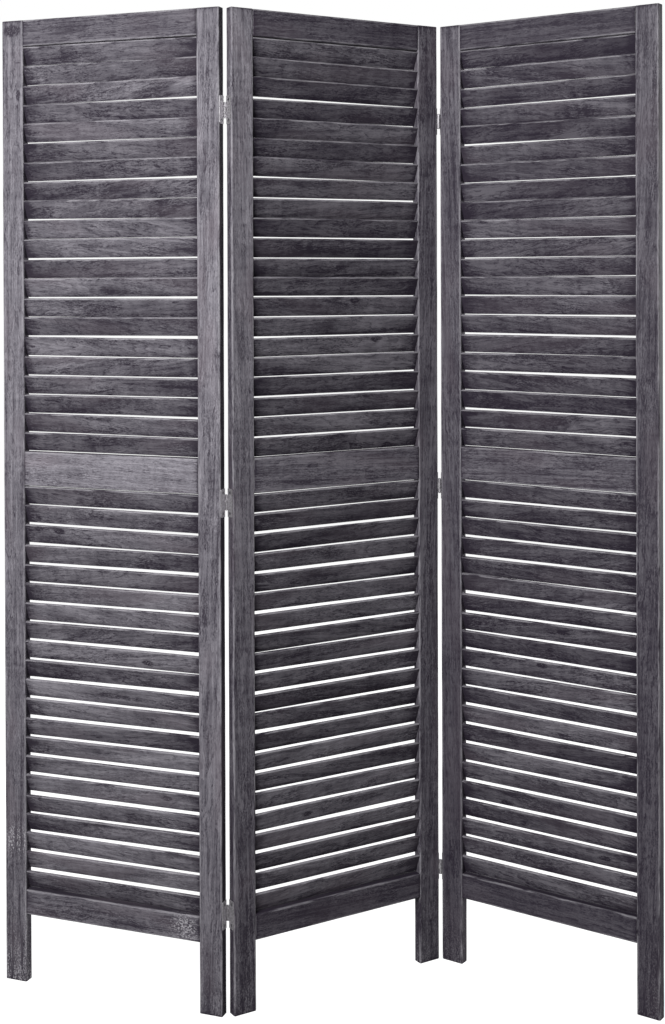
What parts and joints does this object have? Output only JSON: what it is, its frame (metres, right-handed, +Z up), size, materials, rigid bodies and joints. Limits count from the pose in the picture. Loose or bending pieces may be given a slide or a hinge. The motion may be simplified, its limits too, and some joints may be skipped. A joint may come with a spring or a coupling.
{
  "type": "folding screen",
  "caption": "Free-standing wooden folding screen: louvred panels on short legs, joined by steel butt hinges so that they stand in a zigzag and fold flat on each other.",
  "frame": {"origin": "middle of the footprint, on the floor that the legs stand on", "axes": "+Z up, X along the row of panels with the left panel at -X, +Y from the front, where the slats lean towards the viewer at their top edges, to the back"},
  "size_m": [1.139, 0.2503, 1.7],
  "materials": {
    "frame_wood": "grey wash, matt, worn at the edges",
    "slat_wood": "grey wash, matt",
    "raw_wood": "untreated",
    "zinc_steel": "zinc plated, dull",
    "bright_steel": "bright drawn wire"
  },
  "bodies": {
    "middle_panel": {"middle_stile_left": "frame_wood", "middle_stile_right": "frame_wood", "middle_top_rail": "frame_wood", "middle_mid_rail": "frame_wood", "middle_bottom_rail": "frame_wood", "middle_upper_slats": "slat_wood", "middle_lower_slats": "slat_wood", "middle_rail_dowels": "raw_wood", "middle_slat_pins": "bright_steel", "middle_left_hinge_top_leaf": "zinc_steel", "middle_left_hinge_centre_leaf": "zinc_steel", "middle_left_hinge_bottom_leaf": "zinc_steel", "middle_right_hinge_top_leaf": "zinc_steel", "middle_right_hinge_centre_leaf": "zinc_steel", "middle_right_hinge_bottom_leaf": "zinc_steel", "left_hinge_top_pin": "bright_steel", "left_hinge_centre_pin": "bright_steel", "left_hinge_bottom_pin": "bright_steel", "right_hinge_top_pin": "bright_steel", "right_hinge_centre_pin": "bright_steel", "right_hinge_bottom_pin": "bright_steel", "middle_left_hinge_screws": "zinc_steel", "middle_right_hinge_screws": "zinc_steel"},
    "left_panel": {"left_stile_left": "frame_wood", "left_stile_right": "frame_wood", "left_top_rail": "frame_wood", "left_mid_rail": "frame_wood", "left_bottom_rail": "frame_wood", "left_upper_slats": "slat_wood", "left_lower_slats": "slat_wood", "left_rail_dowels": "raw_wood", "left_slat_pins": "bright_steel", "left_hinge_top_leaf": "zinc_steel", "left_hinge_centre_leaf": "zinc_steel", "left_hinge_bottom_leaf": "zinc_steel", "left_hinge_screws": "zinc_steel"},
    "right_panel": {"right_stile_left": "frame_wood", "right_stile_right": "frame_wood", "right_top_rail": "frame_wood", "right_mid_rail": "frame_wood", "right_bottom_rail": "frame_wood", "right_upper_slats": "slat_wood", "right_lower_slats": "slat_wood", "right_rail_dowels": "raw_wood", "right_slat_pins": "bright_steel", "right_hinge_top_leaf": "zinc_steel", "right_hinge_centre_leaf": "zinc_steel", "right_hinge_bottom_leaf": "zinc_steel", "right_hinge_screws": "zinc_steel"}
  },
  "joints": [
    {"name": "left_fold", "type": "hinge", "parent": "middle_panel", "child": "left_panel", "pos_m": [-0.16504, -0.09646, 0.865], "axis": [0, 0, 1], "range_deg": [-128, 54]},
    {"name": "right_fold", "type": "hinge", "parent": "middle_panel", "child": "right_panel", "pos_m": [0.20756, 0.10889, 0.865], "axis": [0, 0, 1], "range_deg": [-114, 68]}
  ]
}
